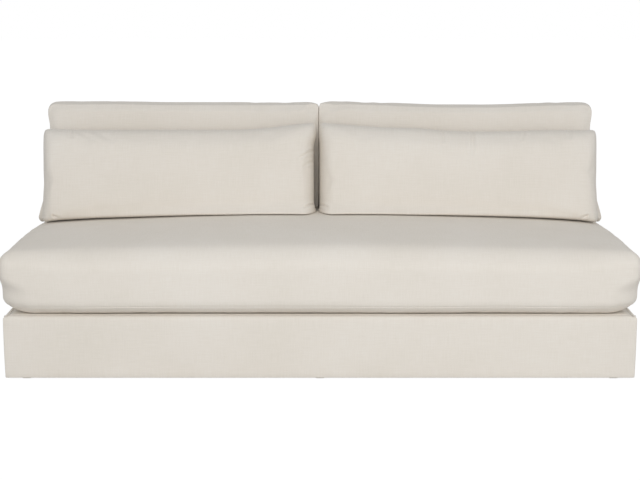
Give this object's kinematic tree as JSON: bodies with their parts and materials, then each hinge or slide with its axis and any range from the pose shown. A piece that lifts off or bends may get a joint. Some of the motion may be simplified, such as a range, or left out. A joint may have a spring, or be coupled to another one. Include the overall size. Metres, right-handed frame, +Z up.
{
  "type": "armless sofa",
  "caption": "Armless sofa with an upholstered box base and low back, one full-width seat cushion, and loose back and lumbar cushions in plain linen.",
  "frame": {"origin": "on the floor, under the centre of the whole sofa's box", "axes": "+X to the sofa's length, the front faces -Y, +Z up"},
  "size_m": [2.192, 1.043, 0.8758],
  "materials": {
    "linen_cloth": "plain-woven off-white linen blend, matt",
    "foam": "open-cell polyurethane foam, matt",
    "fibre_fill": "white polyester fibre, matt",
    "lining_cloth": "black non-woven cambric, matt",
    "webbing": "woven elastic webbing, matt",
    "frame_timber": "sawn and planed kiln-dried hardwood, bare",
    "zinc_steel": "zinc-plated steel",
    "glide_plastic": "moulded black polypropylene",
    "zip_tape": "woven polyester zip tape with nylon coil",
    "zip_metal": "enamelled zinc zip slider"
  },
  "bodies": {
    "frame": {"back_cover": "linen_cloth", "back_foot_rail": "frame_timber", "back_lining": "lining_cloth", "back_pad": "foam", "back_tack_rail": "frame_timber", "back_top_rail": "frame_timber", "back_webbing": "webbing", "centre_back_post": "frame_timber", "corner_blocks": "frame_timber", "deck_cover": "linen_cloth", "deck_pad": "foam", "dust_cover": "lining_cloth", "floor_glides": "glide_plastic", "front_border": "linen_cloth", "front_border_pad": "foam", "front_rail": "frame_timber", "left_back_post": "frame_timber", "left_border": "linen_cloth", "left_border_pad": "foam", "left_end_rail": "frame_timber", "outside_back_panel": "linen_cloth", "post_bolts": "zinc_steel", "post_nuts": "zinc_steel", "right_back_post": "frame_timber", "right_border": "linen_cloth", "right_border_pad": "foam", "right_end_rail": "frame_timber", "seat_lining": "lining_cloth", "seat_rear_rail": "frame_timber", "seat_stretchers": "frame_timber", "seat_webbing_cross": "webbing", "seat_webbing_long": "webbing"},
    "seat_cushion": {"seat_cushion_cover": "linen_cloth", "seat_cushion_wrap": "fibre_fill", "seat_cushion_core": "foam", "seat_zip_tape": "zip_tape"},
    "left_back_cushion": {"left_back_cushion_cover": "linen_cloth", "left_back_cushion_fill": "fibre_fill", "left_back_cushion_zip_tape": "zip_tape"},
    "left_lumbar_cushion": {"left_lumbar_cushion_cover": "linen_cloth", "left_lumbar_cushion_fill": "fibre_fill", "left_lumbar_cushion_zip_tape": "zip_tape"},
    "right_back_cushion": {"right_back_cushion_cover": "linen_cloth", "right_back_cushion_fill": "fibre_fill", "right_back_cushion_zip_tape": "zip_tape"},
    "right_lumbar_cushion": {"right_lumbar_cushion_cover": "linen_cloth", "right_lumbar_cushion_fill": "fibre_fill", "right_lumbar_cushion_zip_tape": "zip_tape"},
    "seat_zip": {"seat_zip_slider": "zip_metal"},
    "left_back_zip": {"left_back_cushion_zip_slider": "zip_metal"},
    "left_lumbar_zip": {"left_lumbar_cushion_zip_slider": "zip_metal"},
    "right_back_zip": {"right_back_cushion_zip_slider": "zip_metal"},
    "right_lumbar_zip": {"right_lumbar_cushion_zip_slider": "zip_metal"}
  },
  "joints": [
    {"name": "seat_cushion_lift", "type": "slide", "parent": "frame", "child": "seat_cushion", "axis": [0, 0, 1], "range_m": [0, 0.25]},
    {"name": "left_back_cushion_lift", "type": "slide", "parent": "seat_cushion", "child": "left_back_cushion", "axis": [0, 0.2419, 0.9703], "range_m": [0, 0.45]},
    {"name": "right_back_cushion_lift", "type": "slide", "parent": "seat_cushion", "child": "right_back_cushion", "axis": [0, 0.2419, 0.9703], "range_m": [0, 0.45]},
    {"name": "left_lumbar_cushion_lift", "type": "slide", "parent": "seat_cushion", "child": "left_lumbar_cushion", "axis": [0, -0.7071, 0.7071], "range_m": [0, 0.4]},
    {"name": "right_lumbar_cushion_lift", "type": "slide", "parent": "seat_cushion", "child": "right_lumbar_cushion", "axis": [0, -0.7071, 0.7071], "range_m": [0, 0.4]},
    {"name": "seat_zip_slide", "type": "slide", "parent": "seat_cushion", "child": "seat_zip", "axis": [-1, 0, 0], "range_m": [0, 1.44]},
    {"name": "left_back_zip_slide", "type": "slide", "parent": "left_back_cushion", "child": "left_back_zip", "axis": [1, 0, 0], "range_m": [0, 0.7]},
    {"name": "right_back_zip_slide", "type": "slide", "parent": "right_back_cushion", "child": "right_back_zip", "axis": [1, 0, 0], "range_m": [0, 0.7]},
    {"name": "left_lumbar_zip_slide", "type": "slide", "parent": "left_lumbar_cushion", "child": "left_lumbar_zip", "axis": [1, 0, 0], "range_m": [0, 0.5]},
    {"name": "right_lumbar_zip_slide", "type": "slide", "parent": "right_lumbar_cushion", "child": "right_lumbar_zip", "axis": [1, 0, 0], "range_m": [0, 0.5]}
  ]
}
